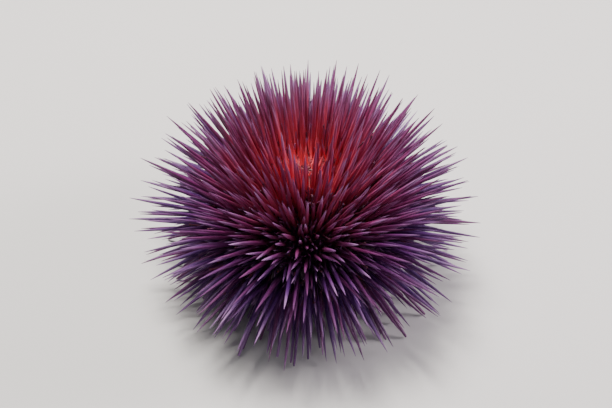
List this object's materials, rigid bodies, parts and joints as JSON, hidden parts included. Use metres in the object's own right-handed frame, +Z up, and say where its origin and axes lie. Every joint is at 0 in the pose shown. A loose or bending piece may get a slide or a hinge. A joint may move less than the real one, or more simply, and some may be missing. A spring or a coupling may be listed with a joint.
{
  "type": "rock urchin",
  "caption": "Life-size still model of a purple rock urchin: a low domed test in zones, covered in tapering spines, with crown plates, tube feet, mouth membrane and teeth.",
  "frame": {"origin": "on the ground, at the middle of the box round the whole animal, which is within a millimetre of the urchin's axis", "axes": "+Z up along the urchin's axis, from the mouth to the crown; +X along the middle of ambulacrum_1; the animal stands on z = 0"},
  "size_m": [0.1037, 0.1027, 0.0589],
  "materials": {
    "spiny_test": "satin deep purple skin over a limy test, with purple spines",
    "crown_plates": "satin crimson skin over small plates",
    "soft_membrane": "moist soft membrane",
    "teeth": "smooth white teeth"
  },
  "bodies": {
    "root": {"ambulacrum_1": "spiny_test", "ambulacrum_2": "spiny_test", "ambulacrum_3": "spiny_test", "ambulacrum_4": "spiny_test", "ambulacrum_5": "spiny_test", "interambulacrum_1": "spiny_test", "interambulacrum_2": "spiny_test", "interambulacrum_3": "spiny_test", "interambulacrum_4": "spiny_test", "interambulacrum_5": "spiny_test", "apical_disc": "crown_plates", "peristome": "soft_membrane", "mouth_teeth": "teeth"}
  },
  "joints": []
}
